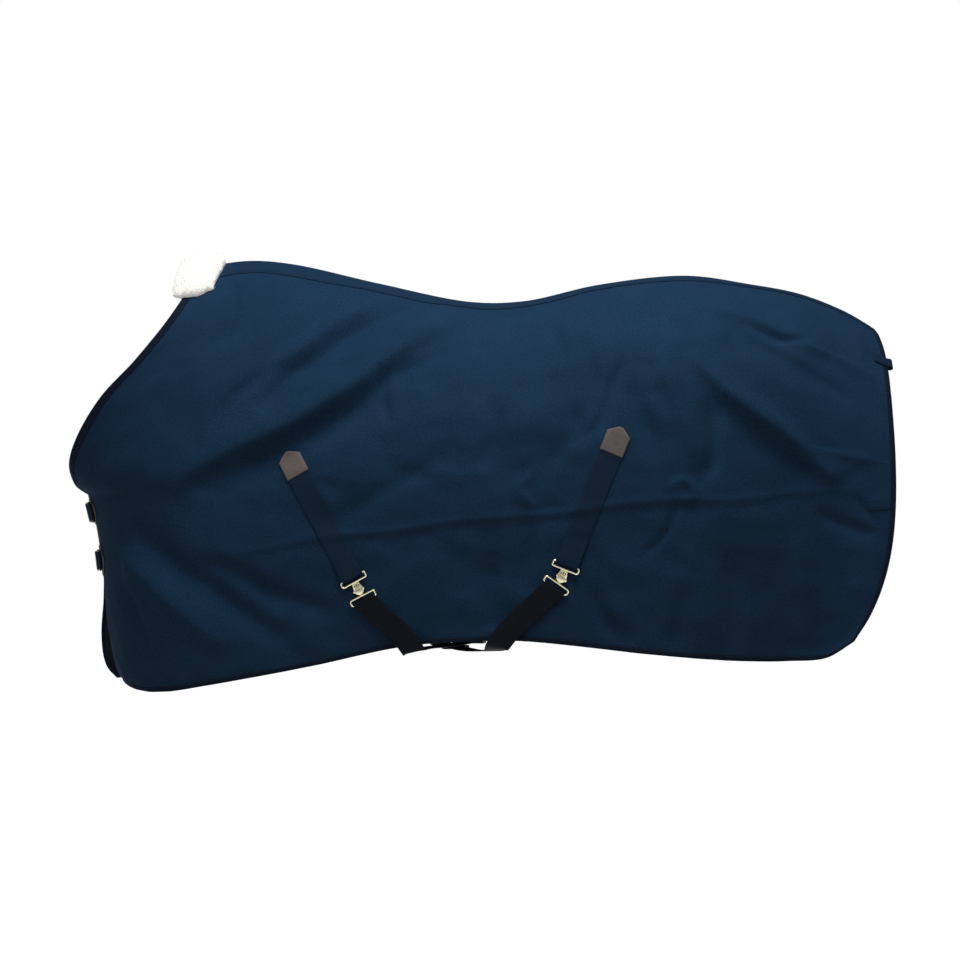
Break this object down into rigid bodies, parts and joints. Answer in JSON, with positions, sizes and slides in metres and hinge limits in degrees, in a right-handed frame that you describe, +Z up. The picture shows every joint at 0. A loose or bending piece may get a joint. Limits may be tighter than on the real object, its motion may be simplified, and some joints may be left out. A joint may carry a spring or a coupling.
{
  "type": "horse turnout rug",
  "caption": "Shaped turnout rug for a horse, closed at the chest and under the belly, with cross surcingles, clips, fleece at the withers and leg strap rings.",
  "frame": {"origin": "on the spine seam at the dip of the back, where the horse carries the rug", "axes": "+X towards the tail, -Y the near (left) side, +Z up"},
  "size_m": [1.8203, 0.6289, 0.9763],
  "materials": {
    "canvas": "coated woven canvas, matt",
    "lining": "smooth nylon lining, matt",
    "binding": "woven edge binding, matt",
    "webbing": "flat woven webbing",
    "black_webbing": "flat woven webbing",
    "fleece": "deep synthetic fleece pile",
    "leather": "soft grained leather",
    "brass": "pale polished brass plate",
    "black_metal": "black lacquer"
  },
  "bodies": {
    "rug": {"shell_near": "canvas", "shell_far": "canvas", "lining_near": "lining", "lining_far": "lining", "neck_binding_near": "binding", "neck_binding_far": "binding", "front_binding_near": "binding", "front_binding_far": "binding", "hem_binding_near": "binding", "hem_binding_far": "binding", "rear_binding_near": "binding", "rear_binding_far": "binding", "spine_tape": "binding", "wither_fleece": "fleece", "front_patch_near": "leather", "front_strap_upper": "webbing", "front_clip_plate": "brass", "front_strap_far_end": "black_webbing", "front_patch_far": "leather", "rear_patch_near": "leather", "rear_strap_upper": "webbing", "rear_clip_plate": "brass", "rear_strap_far_end": "black_webbing", "rear_patch_far": "leather", "upper_chest_patch_near": "leather", "upper_chest_patch_far": "leather", "upper_chest_chape": "black_webbing", "upper_chest_billet": "leather", "lower_chest_patch_near": "leather", "lower_chest_patch_far": "leather", "lower_chest_chape": "black_webbing", "lower_chest_billet": "leather", "leg_patch_near": "canvas", "leg_strap_tab_near": "black_webbing", "tail_loop_near": "black_webbing", "leg_patch_far": "canvas", "leg_strap_tab_far": "black_webbing", "tail_loop_far": "black_webbing"},
    "front_surcingle": {"front_clip_hook": "brass", "front_strap_lower": "black_webbing"},
    "rear_surcingle": {"rear_clip_hook": "brass", "rear_strap_lower": "black_webbing"},
    "front_adjuster": {"front_slider": "black_metal"},
    "rear_adjuster": {"rear_slider": "black_metal"},
    "upper_buckle": {"upper_buckle_frame": "brass"},
    "upper_tongue": {"upper_buckle_tongue": "brass"},
    "upper_keeper": {"upper_chest_keeper": "leather"},
    "lower_buckle": {"lower_buckle_frame": "brass"},
    "lower_tongue": {"lower_buckle_tongue": "brass"},
    "lower_keeper": {"lower_chest_keeper": "leather"},
    "near_leg_ring": {"leg_strap_ring_near": "brass"},
    "far_leg_ring": {"leg_strap_ring_far": "brass"}
  },
  "joints": [
    {"name": "front_surcingle_sway", "type": "hinge", "parent": "rug", "child": "front_surcingle", "pos_m": [-0.26094, -0.27654, -0.63647], "axis": [0.4481, 0.8766, -0.1754], "range_deg": [-4, 2]},
    {"name": "front_slider_slide", "type": "slide", "parent": "front_surcingle", "child": "front_adjuster", "axis": [0.28, 0.96, 0], "range_m": [-0.03, 0.03]},
    {"name": "rear_surcingle_sway", "type": "hinge", "parent": "rug", "child": "rear_surcingle", "pos_m": [0.17459, -0.31363, -0.60912], "axis": [-0.3939, 0.8926, -0.2194], "range_deg": [-4, 2]},
    {"name": "rear_slider_slide", "type": "slide", "parent": "rear_surcingle", "child": "rear_adjuster", "axis": [-0.219, 0.9757, -0.01], "range_m": [-0.03, 0.03]},
    {"name": "upper_buckle_lift", "type": "hinge", "parent": "rug", "child": "upper_buckle", "pos_m": [-0.87651, -0.006, -0.47129], "axis": [-0.2402, 0, 0.9707], "range_deg": [0, 6]},
    {"name": "upper_tongue_lift", "type": "hinge", "parent": "upper_buckle", "child": "upper_tongue", "pos_m": [-0.87651, -0.006, -0.47129], "axis": [-0.2402, 0, 0.9707], "range_deg": [0, 6]},
    {"name": "upper_keeper_slide", "type": "slide", "parent": "rug", "child": "upper_keeper", "axis": [-0.2703, 0.9609, -0.0601], "range_m": [-0.008, 0.008]},
    {"name": "lower_buckle_lift", "type": "hinge", "parent": "rug", "child": "lower_buckle", "pos_m": [-0.85716, -0.006, -0.57859], "axis": [-0.1203, 0, 0.9927], "range_deg": [0, 6]},
    {"name": "lower_tongue_lift", "type": "hinge", "parent": "lower_buckle", "child": "lower_tongue", "pos_m": [-0.85716, -0.006, -0.57859], "axis": [-0.1203, 0, 0.9927], "range_deg": [0, 6]},
    {"name": "lower_keeper_slide", "type": "slide", "parent": "rug", "child": "lower_keeper", "axis": [-0.2588, 0.9655, -0.0299], "range_m": [-0.008, 0.008]},
    {"name": "near_leg_ring_swing", "type": "hinge", "parent": "rug", "child": "near_leg_ring", "pos_m": [0.84748, -0.19588, -0.40882], "axis": [0.9988, 0.0499, 0], "range_deg": [0, 75]},
    {"name": "far_leg_ring_swing", "type": "hinge", "parent": "rug", "child": "far_leg_ring", "pos_m": [0.84748, 0.19588, -0.40882], "axis": [-0.9988, 0.0499, 0], "range_deg": [0, 75]}
  ]
}
